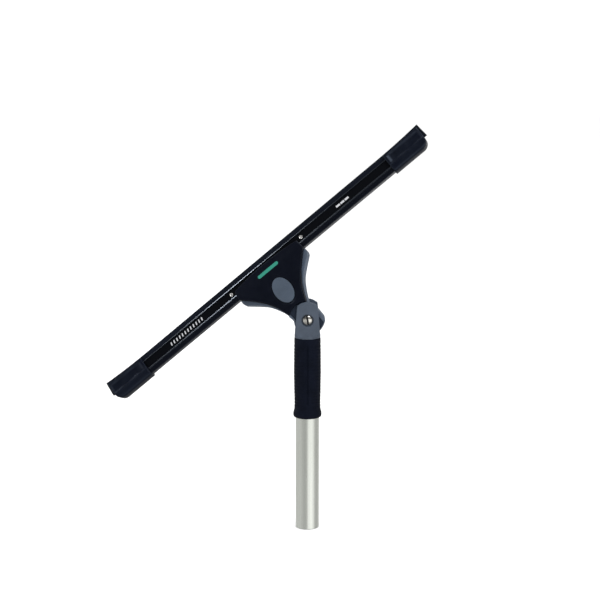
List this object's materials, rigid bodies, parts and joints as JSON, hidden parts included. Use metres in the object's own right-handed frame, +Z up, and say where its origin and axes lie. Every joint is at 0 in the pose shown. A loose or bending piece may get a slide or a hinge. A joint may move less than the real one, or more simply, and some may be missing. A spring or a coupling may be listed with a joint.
{
  "type": "window cleaning squeegee",
  "caption": "Window cleaning squeegee: a rubber blade in a metal channel on a T-shaped head with a release button, hinged in a fork on a gripped aluminium pole.",
  "frame": {"origin": "centre of the pole's open lower end", "axes": "+Z up along the pole, +X to the right as seen from the front, -Y toward the front, which is the side with the release button; the head is tilted 40 degrees to the left at rest"},
  "size_m": [0.3639, 0.0522, 0.4531],
  "materials": {
    "pole_aluminium": "drawn, satin",
    "anodised_black": "black anodised, satin",
    "grey_plastic": "moulded, fine texture",
    "black_plastic": "moulded, satin",
    "clip_plastic": "moulded, semi-gloss",
    "grip_rubber": "ribbed, matt",
    "blade_rubber": "smooth, matt",
    "screw_steel": "bright zinc plated",
    "spring_steel": "drawn wire"
  },
  "bodies": {
    "handle": {"pole_tube": "pole_aluminium", "locking_cone": "black_plastic", "cone_rivet": "pole_aluminium", "cone_spring": "spring_steel", "handle_core": "black_plastic", "rubber_grip": "grip_rubber", "swivel_fork": "grey_plastic", "pivot_screw": "screw_steel", "pivot_bush": "screw_steel", "spring_washer": "spring_steel", "pivot_nut": "screw_steel"},
    "cone_catch": {"cone_catch": "grey_plastic"},
    "head": {"head_back": "grey_plastic", "front_friction_plate": "black_plastic", "rear_friction_plate": "black_plastic", "front_cover": "black_plastic", "cover_screw_upper_left": "screw_steel", "cover_screw_upper_right": "screw_steel", "cover_screw_lower_left": "screw_steel", "cover_screw_lower_right": "screw_steel", "lever_pin": "screw_steel", "button_spring": "spring_steel", "channel": "anodised_black", "blade_rubber": "blade_rubber", "end_clip_left": "clip_plastic", "end_clip_right": "clip_plastic"},
    "release_button": {"release_button": "grey_plastic"},
    "lock_lever": {"lock_lever": "black_plastic", "lock_pin": "screw_steel"}
  },
  "joints": [
    {"name": "head_swivel", "type": "hinge", "parent": "handle", "child": "head", "pos_m": [0, 0, 0.241], "axis": [0, 1, 0], "range_deg": [-50, 130]},
    {"name": "cone_catch_press", "type": "slide", "parent": "handle", "child": "cone_catch", "axis": [0, -1, 0], "range_m": [0, 0.0046], "stiffness_N_per_m": 900, "springref_m": -0.002, "deforming": ["cone_spring"]},
    {"name": "button_press", "type": "slide", "parent": "head", "child": "release_button", "axis": [0.2717, 0.9063, -0.3237], "range_m": [0, 0.0022], "stiffness_N_per_m": 2500, "springref_m": -0.001, "deforming": ["button_spring"]},
    {"name": "lever_rock", "type": "hinge", "parent": "head", "child": "lock_lever", "pos_m": [-0.036, 0.01358, 0.28391], "axis": [0.766, 0, 0.6428], "range_deg": [0, 6.7]}
  ],
  "couplings": [
    {"joint": "lever_rock", "follows": "button_press", "rad_per_m": 52.6}
  ]
}
